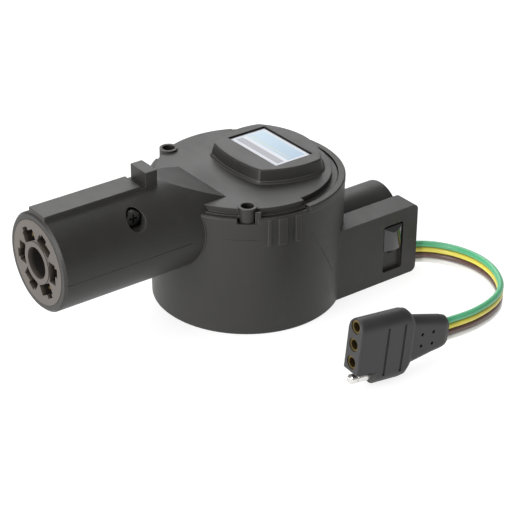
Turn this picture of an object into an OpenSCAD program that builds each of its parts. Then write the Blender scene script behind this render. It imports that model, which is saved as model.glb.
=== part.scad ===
// Brake controller unit: a round control housing that plugs into a tow vehicle's
// seven-way outlet, with a flat four-way lead and a round outlet at the other end.
// Frame: origin at the centre of the flat base, +X from the plug towards the outlet,
// +Z up, and the flat lead leaves on the -Y side.

/* [Drum] */
// Radius of the drum at its base
drum_base_r = 40.5; // [38:0.1:42]
// Radius of the drum at its rim
drum_rim_r = 41.3; // [40.5:0.1:42]
// Height of the drum wall's rim
rim_z = 54.1; // [50:0.1:58]
// Thickness of the drum wall
wall_t = 2.8; // [2:0.1:3.5]
// Thickness of the floor
floor_t = 2.6; // [2:0.1:4]

/* [Cover] */
// Height of the cover's flat top
cover_z = 57.3; // [54:0.1:60]
// Radius of the cover's top disc on the plug side
cover_r = 37.8; // [36:0.1:38.5]
// Radius of the cover's top disc inside the raised ring
cover_inner_r = 35.6; // [34:0.1:36.5]
// Height of the raised boss above the cover
boss_h = 5.6; // [3:0.1:8]

/* [Seven-way plug] */
// Outer radius of the plug barrel
barrel_r = 20.6; // [19:0.1:22]
// Height of the barrel's axis above the base
barrel_z = 45.3; // [44:0.1:47]
// Distance from the drum's axis to the barrel's open end
barrel_x = 101.5; // [90:0.5:110]
// Wall of the barrel
barrel_wall = 2.8; // [2:0.1:3.5]
// Half width of the flat key along the top of the barrel
key_half_w = 5.7; // [4:0.1:7]
// Height of the key's flat top
key_z = 67.3; // [67:0.1:68]

/* [Lead housing] */
// Outer face of the lead housing
slab_front_y = -32.7; // [-33:0.1:-32]
// Thickness of the lead housing
slab_t = 11.5; // [11:0.1:12.5]
// Height of the lead housing
slab_h = 32.8; // [30:0.1:35]
// Distance from the drum's axis to the lead housing's end
slab_x = 68; // [66:0.5:72]
// Travel of the mode slider in its slot
slider_travel = 10; // [6:0.5:10]

/* [Round outlet] */
// Outer radius of the round outlet
outlet_r = 13.5; // [12:0.1:14]
// Height of the round outlet's axis
outlet_z = 14.5; // [14:0.1:15]
// Distance from the drum's axis to the outlet's mouth
outlet_x = 74.4; // [70:0.1:78]

/* [Flat connector] */
// Distance between neighbouring contacts of the flat connector
contact_pitch = 7.9; // [7.5:0.05:8]
// Half width of the flat connector
flat_half_w = 15.1; // [14.8:0.1:15.5]
// Thickness of the flat connector
flat_t = 9.6; // [9:0.1:10]

/* [Hidden] */
$fn = 96;
eps = 0.01;
fine = 32;

black = [0.055, 0.056, 0.060];
soft_black = [0.085, 0.085, 0.090];
brass = [0.80, 0.62, 0.28];
silver = [0.80, 0.80, 0.82];
board_green = [0.07, 0.28, 0.16];

// drum
drum_in_r = drum_rim_r - wall_t - 0.8;
shelf_z = rim_z - 0.9;
ring_z = rim_z + 1.4;
ring_in_r = drum_rim_r - 2.9;
ring_from = -88;
ring_sweep = 150;
edge = 0.5;
// barrel and its sloped inner end
barrel_in_r = barrel_r - barrel_wall;
ramp_x = -23;
ramp_slope = 0.39;
deck_t = 2.6;
tab_x = [-53.7, -48.3];
tab_half_w = 5.4;
tab_z = 72.3;
side_hole_x = -65.1;
side_hole_z = 58.9;
side_hole_r = 4;
// cover screws stand in round ears
ear_angles = [-126, 117];
ear_ring_r = 36.9;
ear_r = 3.9;
ear_top_z = cover_z + 0.9;
ear_seat_z = rim_z - 2.2;
screw_seat_z = cover_z - 3.6;
screw_r = 1.6;
// moulded ribs and locating key on the drum's front
rib_angles = [[-114.5, -112.9], [-108.4, -103.6], [-98.2, -94.9]];
rib_low_z = 41.5;
key_angles = [-121.6, -118.4];
// seven-way insert
insert_r = barrel_in_r - 0.15;
insert_x0 = -barrel_x - 0.1;
insert_len = 42.4;
slot_ring_r = 11;
slot_w = 9;
slot_h = 4.4;
bore_r = 6.6;
// lead housing
slab_back_y = slab_front_y + slab_t;
slab_wall = 2.8;
recess_x = [49, 60];
recess_z = [4.6, 27];
recess_depth = 1.8;
recess_r = 1.2;
slot_x = [53, 56];
lead_y = -28.4;
lead_z = 6.4;
wire_r = 1.3;
lead_half_h = 4 * wire_r;
// round outlet
outlet_in_r = outlet_r - 2.3;
outlet_face_x = outlet_x - 11;
// board
board_z = 11;
board_t = 1.6;
board_top = board_z + board_t;
board_r = 31.5;
board_holes = [[24, 14], [-24, 14], [-22, -18], [-2, -27]];
// flat connector: its own frame has x from the mating end to the tail and z across the contacts
flat_pos = [-16, -90.4, 17.2];
flat_turn = [1, 5, -4];
flat_body_l = 26.4;
flat_tail_l = 45.5;
flat_cut_x = 9.5;
socket_r = 2.8;
pin_r = 2;
crimp_r = 1.6;
sleeve_x = 0.5;

// The flat lead's centre line, from the lead housing to the flat connector's tail
lead_route = [[68, -28.4, 6.4], [70, -28.5, 6.4], [72.5, -29.6, 6.4], [75.5, -32, 6.4],
              [78.5, -35.4, 6.4], [81, -39.4, 6.4], [82.8, -43.8, 6.5], [83.9, -48.6, 6.7],
              [84.2, -53.6, 7], [83.6, -59, 7.4], [82.2, -64.4, 7.9], [79.8, -70, 8.5],
              [76.4, -75.8, 9.2], [72, -81.4, 9.9], [67, -85.8, 10.6], [61.4, -89.2, 11.3],
              [55.6, -91.6, 11.9], [49.8, -93.2, 12.4], [44, -94.2, 12.8], [38.4, -94.4, 13.1],
              [33.6, -94, 13.2], [29.2, -93.56, 13.23], [23, -93.14, 13.78]];

// ---- helpers ----

// a solid of revolution sector, from angle a over sweep degrees
module sector(a, sweep, points) {
    rotate([0, 0, a]) rotate_extrude(angle = sweep) polygon(points);
}

// a cylinder along +X from x0 to x1, at height z
module rod_x(x0, x1, r, y = 0, z = 0) {
    translate([x0, y, z]) rotate([0, 90, 0]) cylinder(h = x1 - x0, r = r);
}

// a block given by its low and high corners
module block(low, high) {
    translate(low) cube(high - low);
}

// everything below the sloped deck, pushed down by drop
module below_ramp(drop = 0) {
    far_x = -130;
    rotate([90, 0, 0]) linear_extrude(height = 100, center = true)
        polygon([[ramp_x + 40, cover_z - drop - ramp_slope * 40],
                 [far_x, cover_z - drop + ramp_slope * (ramp_x - far_x)],
                 [far_x, -10], [ramp_x + 40, -10]]);
}

// the boss outline: four arcs, the flattest of them towards the plug
module boss_outline(grow = 0) {
    intersection() {
        translate([55, 1.5]) circle(r = 61.3 + grow);
        translate([16.5, 12]) circle(r = 33.8 + grow);
        translate([13.2, -6.1]) circle(r = 29 + grow);
        circle(r = 30.9 + grow * 0.8);
    }
}
// the same with soft corners
module boss_face(grow = 0) {
    offset(r = 2) offset(delta = -2) boss_outline(grow);
}

// a tube of four flat-bonded wires swept along points: 8 corners a ring, on edge
function flat(v) = [v[0], v[1], 0];
function unit(v) = v / norm(v);
function heading(p, i) = unit(flat(p[min(i + 1, len(p) - 1)] - p[max(i - 1, 0)]));
function ring(p, i, hw, hh, c) =
    let (t = heading(p, i), s = [t[1], -t[0], 0], up = [0, 0, 1])
    [for (q = [[hw, -hh + c], [hw, hh - c], [hw - c, hh], [c - hw, hh],
               [-hw, hh - c], [-hw, c - hh], [c - hw, -hh], [hw - c, -hh]])
        p[i] + s * q[0] + up * q[1]];
module swept(p, hw, hh, c) {
    n = len(p);
    points = [for (i = [0:n - 1]) each ring(p, i, hw, hh, c)];
    sides = [for (i = [0:n - 2]) for (j = [0:7]) each
        [[i * 8 + j, i * 8 + (j + 1) % 8, i * 8 + 8 + (j + 1) % 8],
         [i * 8 + j, i * 8 + 8 + (j + 1) % 8, i * 8 + 8 + j]]];
    start_cap = [[7, 6, 5, 4, 3, 2, 1, 0]];
    end_cap = [[for (j = [0:7]) (n - 1) * 8 + j]];
    polyhedron(points = points, faces = concat(start_cap, sides, end_cap), convexity = 6);
}

// a round wire through points, swept as one tube of 8 sides
function wire_ring(p, i, r) =
    let (t = unit(p[min(i + 1, len(p) - 1)] - p[max(i - 1, 0)]),
         s = unit(cross(t, [0, 1, 0])), u = cross(t, s))
    [for (j = [0:7]) p[i] + r * (cos(45 * j) * s - sin(45 * j) * u)];
module wire(p, r) {
    n = len(p);
    points = [for (i = [0:n - 1]) each wire_ring(p, i, r)];
    sides = [for (i = [0:n - 2]) for (j = [0:7]) each
        [[i * 8 + j, i * 8 + (j + 1) % 8, i * 8 + 8 + (j + 1) % 8],
         [i * 8 + j, i * 8 + 8 + (j + 1) % 8, i * 8 + 8 + j]]];
    start_cap = [[7, 6, 5, 4, 3, 2, 1, 0]];
    end_cap = [[for (j = [0:7]) (n - 1) * 8 + j]];
    polyhedron(points = points, faces = concat(start_cap, sides, end_cap), convexity = 4);
}

module ears_at() {
    for (a = ear_angles) rotate([0, 0, a]) translate([ear_ring_r, 0, 0]) children();
}

// ---- casing ----

module drum_body() {
    rotate_extrude()
        polygon([[0, 0], [drum_base_r - edge, 0], [drum_base_r, edge],
                 [drum_rim_r, rim_z - edge], [drum_rim_r - edge, rim_z], [0, rim_z]]);
    // raised ring round the outlet half of the rim
    sector(ring_from, ring_sweep,
           [[ring_in_r - 1.5, rim_z - 2], [drum_rim_r - 1, rim_z - 2],
            [drum_rim_r + 0.1, rim_z - 1.4], [drum_rim_r + 0.1, ring_z - edge],
            [drum_rim_r + 0.1 - edge, ring_z], [ring_in_r - 1.5, ring_z]]);
    // moulded ribs below the rim
    for (a = rib_angles)
        sector(a[0], a[1] - a[0],
               [[drum_base_r - 2, rib_low_z], [drum_rim_r + 0.1, rib_low_z],
                [drum_rim_r + 0.8, rib_low_z + 0.8], [drum_rim_r + 0.8, rim_z - 0.6],
                [drum_base_r - 2, rim_z - 0.6]]);
}

module barrel_solid() {
    intersection() {
        union() {
            rod_x(-barrel_x + 1, ramp_x, barrel_r, 0, barrel_z);
            // rounded lip at the open end
            translate([-barrel_x, 0, barrel_z]) rotate([0, 90, 0])
                cylinder(h = 1, r1 = barrel_r - 1, r2 = barrel_r);
        }
        below_ramp();
    }
    block([-barrel_x + 0.8, -key_half_w, barrel_z + 10], [tab_x[0] - 2.6, key_half_w, key_z]);
    block([tab_x[0] - 2.6 - eps, -key_half_w, barrel_z + 10], [tab_x[0], key_half_w, key_z - 1.1]);
    block([tab_x[0], -tab_half_w, barrel_z + 10], [tab_x[1], tab_half_w, tab_z]);
}

module slab_solid() {
    corner = 2.6;
    top_corner = 2.6;
    // side view: small round corners at the free end
    translate([0, slab_back_y, 0]) rotate([90, 0, 0]) linear_extrude(height = slab_t)
        union() {
            translate([10, 0]) square([slab_x - corner - 10, slab_h]);
            translate([10, corner]) square([slab_x - 10, slab_h - corner - top_corner]);
            translate([slab_x - corner, corner]) circle(r = corner);
            translate([10, 0]) square([slab_x - top_corner - 10 - 3, slab_h]);
            translate([slab_x - top_corner, slab_h - top_corner]) circle(r = top_corner);
            translate([10, slab_h - 4]) square([slab_x - top_corner - 10, 4]);
        }
}

module main_housing() {
    color(black) {
        difference() {
        union() {
        difference() {
            union() {
                drum_body();
                barrel_solid();
                slab_solid();
                rod_x(20, outlet_x, outlet_r, 0, outlet_z);
            }
            // drum cavity and the shelf for the gasket
            translate([0, 0, floor_t]) cylinder(h = shelf_z + 0.4 - floor_t, r = drum_in_r);
            difference() {
                union() {
                    translate([0, 0, shelf_z]) cylinder(h = 20, r = ring_in_r);
                    sector(ring_from + ring_sweep + 0.8, 360 - ring_sweep - 1.6,
                           [[ring_in_r - 0.3, shelf_z], [drum_in_r + 1.9, shelf_z],
                            [drum_in_r + 1.9, shelf_z + 20], [ring_in_r - 0.3, shelf_z + 20]]);
                }
                rod_x(-60, ramp_x, barrel_r, 0, barrel_z);
            }
            // barrel bore, under the sloped deck
            intersection() {
                rod_x(-barrel_x - 1, ramp_x + 5, barrel_in_r, 0, barrel_z);
                below_ramp(deck_t);
            }
            // side hole to the insert's retaining screw
            translate([side_hole_x, 0, side_hole_z]) rotate([90, 0, 0])
                cylinder(h = barrel_r + 2, r = side_hole_r);
            // lead channel, and the way through to the drum
            block([10, slab_front_y + slab_wall, floor_t], [slab_x - 3.4, slab_back_y - 2.4, slab_h - 2.4]);
            block([26, slab_front_y + slab_wall, 0.9], [slab_x - 3.4, slab_back_y - 2.4, slab_h - 2.4]);
            // grommet opening in the end wall
            block([slab_x - 5, lead_y - 1.6, lead_z - lead_half_h - 0.2],
                  [slab_x + 1, lead_y + 1.6, lead_z + lead_half_h + 0.2]);
            // slider recess and the slot in its floor
            translate([recess_x[0] + recess_r, slab_front_y + recess_depth, recess_z[0] + recess_r])
                rotate([90, 0, 0]) linear_extrude(height = 5) {
                    w = recess_x[1] - recess_x[0] - 2 * recess_r;
                    h = recess_z[1] - recess_z[0] - 2 * recess_r;
                    for (x = [0, w], z = [0, h]) translate([x, z]) circle(r = recess_r);
                    translate([-recess_r, 0]) square([w + 2 * recess_r, h]);
                    translate([0, -recess_r]) square([w, h + 2 * recess_r]);
                }
            block([slot_x[0], slab_front_y + recess_depth - 1, 12.5],
                  [slot_x[1], slab_front_y + slab_wall + 1, 26.2]);
            // round outlet's bore, and the way for its wires
            rod_x(outlet_face_x, outlet_x + 1, outlet_in_r, 0, outlet_z);
            rod_x(outlet_x - 26, outlet_face_x + 1, outlet_in_r - 0.2, 0, outlet_z);
            rod_x(drum_in_r - 4, outlet_x - 20, 9, 0, outlet_z);
            // pockets that the cover's ears drop into
            ears_at() {
                translate([0, 0, ear_seat_z]) cylinder(h = 20, r = ear_r + 0.3);
                translate([0, -ear_r - 0.3, ear_seat_z]) cube([10, 2 * ear_r + 0.6, 20]);
            }
        }
            // screw columns under the ears
            intersection() {
                ears_at() translate([0, 0, floor_t - eps]) cylinder(h = ear_seat_z - floor_t, r = ear_r);
                cylinder(h = 100, r = drum_base_r - 0.5);
            }
        }
        // pilot holes for the cover's screws
        ears_at() translate([0, 0, rim_z - 25]) cylinder(h = 30, r = screw_r + 0.05);
        }
        // locating key beside the front ear
        sector(key_angles[0], key_angles[1] - key_angles[0],
               [[drum_in_r + 0.4, rim_z - 8], [drum_rim_r - 0.6, rim_z - 8],
                [drum_rim_r - 0.6, cover_z - 0.4], [drum_in_r + 2.2, cover_z - 0.4],
                [drum_in_r + 2.2, rim_z - 1], [drum_in_r + 0.4, rim_z - 1]]);
        // posts under the board
        for (p = board_holes)
            difference() {
                translate([p[0], p[1], floor_t - eps]) cylinder(h = board_z - floor_t + eps, r = 2.8);
                translate([p[0], p[1], floor_t + 1]) cylinder(h = board_z, r = 1.1);
            }
    }
}

module top_cover() {
    plate_low = rim_z - 0.05;
    color(black)
    difference() {
        union() {
            // flange on the gasket, then the thicker top disc
            difference() {
                translate([0, 0, plate_low]) cylinder(h = 0.75, r = drum_in_r + 1.5);
                sector(ring_from - 1.4, ring_sweep + 2.8,
                       [[ring_in_r - 0.3, plate_low - 1], [60, plate_low - 1],
                        [60, plate_low + 3], [ring_in_r - 0.3, plate_low + 3]]);
            }
            difference() {
                translate([0, 0, plate_low + 0.7]) cylinder(h = cover_z - plate_low - 0.7, r = cover_r);
                // the disc steps in where the raised ring stands
                sector(ring_from - 1, ring_sweep + 2,
                       [[cover_inner_r, plate_low], [60, plate_low], [60, cover_z + 5],
                        [cover_inner_r, cover_z + 5]]);
            }
            // spigot that drops into the drum
            translate([0, 0, rim_z - 4]) difference() {
                cylinder(h = 4.5, r = drum_in_r - 0.3);
                translate([0, 0, -1]) cylinder(h = 7, r = drum_in_r - 2.1);
                ears_at() translate([0, 0, -1]) cylinder(h = ear_seat_z - rim_z + 5.3, r = ear_r + 0.3);
            }
            // ears
            ears_at() translate([0, 0, ear_seat_z + 0.3])
                cylinder(h = ear_top_z - ear_seat_z - 0.3, r = ear_r);
            // label boss
            hull() {
                translate([0, 0, cover_z - 0.1]) linear_extrude(height = 0.5) boss_face(1.3, $fn = 128);
                translate([0, 0, cover_z + boss_h - 0.6]) linear_extrude(height = 0.1)
                    boss_face(0.2, $fn = 128);
                translate([0, 0, cover_z + boss_h - 0.1]) linear_extrude(height = 0.1)
                    boss_face(-0.4, $fn = 128);
            }
        }
        // cut-out that fits round the plug barrel
        rod_x(-60, ramp_x + 0.15, barrel_r + 0.15, 0, barrel_z);
        // hollow under the boss
        translate([0, 0, rim_z - 6]) linear_extrude(height = cover_z + boss_h - 2.9 - rim_z + 6)
            boss_outline(-2.2);
        // label recess
        translate([3.5, -15.5, cover_z + boss_h - 1.1]) cube([19.4, 33.4, 3]);
        // screw holes with deep counterbores
        ears_at() {
            translate([0, 0, rim_z - 10]) cylinder(h = 30, r = screw_r + 0.3);
            translate([0, 0, screw_seat_z]) cylinder(h = 10, r = 2.7);
        }
        // notch for the locating key
        sector(key_angles[0] - 0.8, key_angles[1] - key_angles[0] + 1.6,
               [[drum_in_r - 0.1, rim_z - 9], [50, rim_z - 9], [50, cover_z - 0.1],
                [drum_in_r - 0.1, cover_z - 0.1]]);
    }
}

module cover_gasket() {
    color(soft_black)
    difference() {
        translate([0, 0, shelf_z]) cylinder(h = rim_z - 0.05 - shelf_z, r = drum_in_r + 1.4);
        translate([0, 0, shelf_z - 1]) cylinder(h = 5, r = drum_in_r + 0.1);
        rod_x(-60, ramp_x + 0.2, barrel_r + 0.2, 0, barrel_z);
        ears_at() translate([0, 0, shelf_z - 1]) cylinder(h = 5, r = ear_r + 0.4);
        sector(ring_from - 1.4, ring_sweep + 2.8,
               [[ring_in_r - 0.1, shelf_z - 1], [60, shelf_z - 1], [60, shelf_z + 4], [ring_in_r - 0.1, shelf_z + 4]]);
        sector(key_angles[0] - 1, key_angles[1] - key_angles[0] + 2,
               [[drum_in_r, shelf_z - 1], [50, shelf_z - 1], [50, shelf_z + 4], [drum_in_r, shelf_z + 4]]);
    }
}

module cover_screws() {
    color(silver)
    ears_at() difference() {
        union() {
            translate([0, 0, rim_z - 22]) cylinder(h = screw_seat_z - rim_z + 22, r = screw_r);
            translate([0, 0, screw_seat_z]) cylinder(h = 2, r = 2.5);
        }
        translate([0, 0, screw_seat_z + 0.9]) for (a = [0, 90]) rotate([0, 0, a])
            translate([-1.6, -0.35, 0]) cube([3.2, 0.7, 3]);
    }
}

module label_plate() {
    color([0.93, 0.95, 0.97])
    translate([3.9, -15.1, cover_z + boss_h - 1.1]) cube([18.6, 32.6, 0.4]);
}

// ---- seven-way plug ----

module slot_cut(depth) {
    translate([0, -slot_w / 2, slot_ring_r - slot_h / 2]) cube([depth, slot_w, slot_h]);
    translate([0, -0.4, slot_ring_r + slot_h / 2 - eps]) cube([depth, 3.8, 1.6]);
}

module around_plug() {
    for (i = [0:5]) translate([insert_x0, 0, barrel_z]) rotate([30 + 60 * i, 0, 0]) children();
}

module plug_insert() {
    color(soft_black)
    difference() {
        union() {
            rod_x(insert_x0, insert_x0 + insert_len, insert_r, 0, barrel_z);
            // raised collar round the centre bore
            rod_x(insert_x0 - 0.4, insert_x0 + 1, bore_r + 2.2, 0, barrel_z);
        }
        around_plug() translate([-1, 0, 0]) slot_cut(18);
        around_plug() translate([10, -3.1, slot_ring_r - 0.65]) cube([insert_len, 6.2, 1.3]);
        rod_x(insert_x0 - 2, insert_x0 + 16, bore_r, 0, barrel_z);
        rod_x(insert_x0 + 10, insert_x0 + insert_len + 1, 3, 0, barrel_z);
        // flat and thread for the retaining screw
        translate([side_hole_x, 0, side_hole_z]) rotate([90, 0, 0]) cylinder(h = 30, r = screw_r);
        translate([side_hole_x - 4, -barrel_r, side_hole_z - 4]) cube([8, barrel_r - 11.2, 20]);
    }
}

module plug_blades() {
    color(brass)
    around_plug() {
        translate([3, -3.1, slot_ring_r - 0.65]) cube([insert_len + 2, 6.2, 1.3]);
        translate([insert_len + 5, -1.6, slot_ring_r - 0.65]) cube([4, 3.2, 1.3]);
    }
}

module plug_centre_contact() {
    color(brass)
    difference() {
        rod_x(insert_x0 + 17, insert_x0 + insert_len + 6, 3, 0, barrel_z);
        rod_x(insert_x0 + 16, insert_x0 + 34, 2, 0, barrel_z);
    }
}

module insert_screw() {
    color(silver)
    translate([side_hole_x, -11.2, side_hole_z]) rotate([90, 0, 0]) difference() {
        union() {
            translate([0, 0, -8]) cylinder(h = 8, r = screw_r);
            cylinder(h = 2, r = 3.2);
        }
        translate([0, 0, 1]) for (a = [0, 90]) rotate([0, 0, a])
            translate([-1.8, -0.4, 0]) cube([3.6, 0.8, 3]);
    }
}

module plug_seal_ring() {
    color(soft_black)
    translate([insert_x0 + insert_len, 0, barrel_z]) rotate([0, 90, 0])
        difference() {
            cylinder(h = 3, r = insert_r);
            translate([0, 0, -1]) cylinder(h = 5, r = insert_r - 2);
        }
}

// ---- electronics ----

module main_board() {
    color(board_green)
    difference() {
        translate([0, 0, board_z]) cylinder(h = board_t, r = board_r);
        for (p = board_holes) translate([p[0], p[1], 0]) cylinder(h = 40, r = 1.5);
        // clearance for the front screw column and the lead channel
        ears_at() cylinder(h = 40, r = ear_r + 0.8);
        block([17, -40, 0], [40, -19.5, 40]);
    }
}

module board_screws() {
    color(silver)
    for (p = board_holes) translate([p[0], p[1], 0]) {
        translate([0, 0, floor_t + 1.2]) cylinder(h = board_top - floor_t - 1.2, r = 1.1);
        translate([0, 0, board_top]) cylinder(h = 1.8, r = 2.4);
    }
}

module heat_sink() {
    color([0.62, 0.63, 0.65])
    translate([-14, 4, board_top]) {
        cube([28, 3, 18]);
        for (i = [0:6]) translate([i * 4.3, 3 - eps, 0]) cube([2.2, 13, 18]);
    }
}

module power_transistors() {
    color(soft_black)
    for (i = [0:2]) translate([-13 + i * 9, 0, board_top + 3]) {
        translate([0, -0.4, 0]) cube([7.4, 4.4, 9]);
        translate([0, 2.7, 9]) cube([7.4, 1.3, 5]);
        for (j = [0:2]) translate([1.2 + j * 2.2, 1.2, -3]) cube([0.7, 0.7, 3 + eps]);
    }
}

module filter_capacitors() {
    color([0.10, 0.12, 0.20])
    for (p = [[-22, -4], [-12, -9]]) translate([p[0], p[1], board_top]) cylinder(h = 15, r = 4.2);
}

module control_chip() {
    color(soft_black) translate([-15, -25, board_top]) cube([8, 8, 1.4]);
}

module motion_sensor() {
    color(soft_black) translate([-1, -13, board_top]) cube([4, 4, 1.1]);
}

module relay_module() {
    color([0.12, 0.22, 0.45]) translate([19, -3, board_top]) cube([9.5, 14, 12]);
}

module current_shunt() {
    color(brass)
    translate([6, -9, board_top]) {
        cube([1.2, 4, 3]);
        translate([0, 0, 3 - eps]) cube([11, 4, 1]);
        translate([9.8, 0, 0]) cube([1.2, 4, 3]);
    }
}

module plug_terminal_block() {
    color([0.16, 0.30, 0.20])
    translate([-30, 3, board_top]) cube([9, 8, 10]);
}

module lead_terminal_block() {
    color([0.90, 0.90, 0.88]) translate([4, -24, board_top]) cube([8, 7, 12]);
}

module plug_harness_upper() {
    color([0.55, 0.10, 0.08])
    for (y = [-1, 1]) wire([[-50, y * 5.5, barrel_z + 9.5], [-45, y * 5.5, barrel_z + 8.5],
                            [-39, y * 5 + 0.6, barrel_z + 4.5], [-33.5, y * 3.6 + 3, barrel_z - 2],
                            [-29.5, y * 2.4 + 5.4, 35], [-25.6, y * 1.8 + 7, 29.4],
                            [-24, y * 1.8 + 7, 25.6], [-24, y * 1.8 + 7, board_top + 10.02]], 1.1);
}

module plug_harness_lower() {
    color([0.10, 0.25, 0.60])
    for (y = [-1, 1]) wire([[-50, y * 5.5, barrel_z - 9.5], [-43, y * 5.5, barrel_z - 9.7],
                            [-37, y * 4.6 + 2, barrel_z - 10.6], [-32.5, y * 3 + 5, 31.2],
                            [-29.2, y * 1.8 + 7, 28], [-28, y * 1.8 + 7, 25.2], [-28, y * 1.8 + 7, board_top + 10.02]], 1.1);
}

module outlet_harness() {
    color([0.60, 0.50, 0.10])
    for (y = [-1, 1]) wire([[outlet_x - 29.05, y * 4.5, outlet_z + 4.5], [41, y * 4.3, outlet_z + 4.5],
                            [37, y * 3.6 + 0.8, outlet_z + 4.4], [32.5, y * 3.4 + 4, board_top + 6],
                            [28.52, y * 3.4 + 4, board_top + 6]], 1.1);
}

// ---- mode slider and its switch ----

module mode_slider() {
    back_y = slab_front_y + recess_depth - 0.3;
    x0 = recess_x[0] + 0.5;
    x1 = recess_x[1] - 0.5;
    top = recess_z[1] - 0.4;
    h = 11.6;
    color([0.03, 0.03, 0.035]) {
        // domed thumb piece: a wide arc across, cut to the slot's width
        intersection() {
            block([x0, back_y - 3, top - h], [x1, back_y, top]);
            translate([(x0 + x1) / 2, back_y + 6.4, top - h]) cylinder(h = h, r = 9.1);
            // rounded upper edge
            translate([x0, back_y + 1.2, top - 4]) rotate([0, 90, 0]) union() {
                cylinder(h = x1 - x0, r = 4);
                translate([0, -4, 0]) cube([12, 8, x1 - x0]);
            }
        }
        // stem through the slot
        block([slot_x[0] + 0.3, back_y - eps, top - 3.4], [slot_x[1] - 0.3, slab_front_y + slab_wall + 0.35, top - 0.8]);
    }
}

module slider_carrier() {
    y0 = slab_front_y + slab_wall + 0.35;
    top = recess_z[1] - 0.6;
    color([0.85, 0.84, 0.80])
    block([recess_x[0] + 1.5, y0, top - 3.8], [recess_x[1] - 1.5, y0 + 1.2, top]);
}

module contact_bridge() {
    y0 = slab_front_y + slab_wall + 1.55;
    top = recess_z[1] - 1;
    color(brass)
    block([recess_x[0] + 3, y0, top - 3], [recess_x[1] - 3, y0 + 0.4, top]);
}

module switch_base() {
    y1 = slab_back_y - 2.4;
    color([0.85, 0.84, 0.80])
    block([recess_x[0], y1 - 3.6, 12.8], [recess_x[1] + 1.4, y1, 29.4]);
}

module switch_contacts() {
    y1 = slab_back_y - 2.4 - 3.6;
    color(brass)
    for (x = [recess_x[0] + 3.4, recess_x[1] - 4.9])
        block([x, y1 - 0.4, 14], [x + 1.5, y1, 27]);
}

module detent_spring() {
    y1 = slab_back_y - 2.4 - 3.6;
    color(silver)
    block([recess_x[1] + 0.4, y1 - 2.5, 13], [recess_x[1] + 0.8, y1, 28]);
}

// ---- flat lead and its connector ----

module lead_grommet() {
    color(soft_black)
    difference() {
        union() {
            block([slab_x - 3.4, lead_y - 1.6, lead_z - lead_half_h - 0.2],
                  [slab_x, lead_y + 1.6, lead_z + lead_half_h + 0.2]);
            block([slab_x - 6.4, slab_front_y + slab_wall, 1.2], [slab_x - 3.4, slab_back_y - 2.4, 12.6]);
        }
        block([slab_x - 10, lead_y - wire_r, lead_z - lead_half_h],
              [slab_x + 1, lead_y + wire_r, lead_z + lead_half_h]);
    }
}

module lead_inner_run() {
    color([0.2, 0.6, 0.3])
    for (i = [0:3]) {
        z = lead_z - lead_half_h + wire_r + i * 2 * wire_r;
        top = board_top + 1.5 + i * 2 * wire_r;
        wire([[slab_x - 0.05, lead_y, z], [40, lead_y, z], [33, lead_y + 0.2, z + 0.4],
              [28, lead_y + 2.2, z * 0.6 + top * 0.4], [23, lead_y + 5, z * 0.25 + top * 0.75],
              [18, -20.9, top], [12.01, -20.5, top]], 1);
    }
}

module flat_lead() {
    color([0.35, 0.75, 0.45]) swept(lead_route, wire_r, lead_half_h, 0.5);
}

module in_flat_frame() {
    translate(flat_pos) rotate(flat_turn) children();
}

module flat_body_outline() {
    flat_r = flat_t / 2;
    // full-width body with a cut-back corner at the bare pin, and a chamfered rear corner
    polygon([[0, flat_half_w - 1.6], [1.6, flat_half_w], [flat_body_l - 3, flat_half_w],
             [flat_body_l, flat_half_w - 3.5], [flat_body_l, -flat_half_w + 5.5],
             [flat_body_l - 2.4, -flat_half_w], [flat_cut_x + 0.6, -flat_half_w],
             [flat_cut_x, -flat_half_w + 0.6], [flat_cut_x, -contact_pitch],
             [0, -contact_pitch]]);
}

module flat_plug_body() {
    color(soft_black)
    in_flat_frame() difference() {
        union() {
            intersection() {
                rotate([90, 0, 0]) linear_extrude(height = flat_t, center = true) flat_body_outline();
                // full round along both long edges
                union() {
                    for (s = [-1, 1]) rod_x(-1, flat_body_l + 1, flat_t / 2, 0, s * (flat_half_w - flat_t / 2));
                    block([-1, -flat_t / 2, -flat_half_w + flat_t / 2],
                          [flat_body_l + 1, flat_t / 2, flat_half_w - flat_t / 2]);
                }
            }
            // tapered tail
            rotate([90, 0, 0]) linear_extrude(height = flat_t - 2.2, center = true)
                polygon([[flat_body_l - 1, 10.8], [flat_body_l + 14.5, 7.2], [flat_tail_l, 5.6],
                         [flat_tail_l, -5.6], [flat_body_l + 14.5, -6.4], [flat_body_l - 1, -10.4]]);
        }
        // three sockets
        for (k = [-0.5, 0.5, 1.5]) rod_x(-1, 11, socket_r, 0, k * contact_pitch);
        // pin root and inner channels for the crimps
        rod_x(flat_cut_x - 1, flat_cut_x + 1.5, pin_r, 0, -1.5 * contact_pitch);
        for (k = [-1.5, -0.5, 0.5, 1.5]) rod_x(10.5, 21, crimp_r + 0.05, 0, k * contact_pitch);
        // shallow grip grooves on both faces
        for (s = [-1, 1], x = [13.1, 21.2])
            block([x - 0.6, s > 0 ? flat_t / 2 - 0.5 : -flat_t / 2 - 1, -10.6],
                  [x + 0.6, s > 0 ? flat_t / 2 + 1 : -flat_t / 2 + 0.5, 10.6]);
        // the lead's pocket
        block([flat_tail_l - 7, -wire_r - 0.2, -lead_half_h - 0.25],
              [flat_tail_l + 1, wire_r + 0.2, lead_half_h + 0.25]);
        // four dimples in the tail's front
        for (x = [31.4, 36.9], z = [-2, 3])
            translate([x, -flat_t / 2 + 0.5, z]) rotate([90, 0, 0]) cylinder(h = 2, r = 0.75, $fn = 24);
    }
}

module flat_plug_sleeves() {
    color(brass)
    in_flat_frame() for (k = [-0.5, 0.5, 1.5]) difference() {
        rod_x(sleeve_x, 11, socket_r, 0, k * contact_pitch);
        rod_x(0, 12, pin_r, 0, k * contact_pitch);
    }
}

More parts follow.
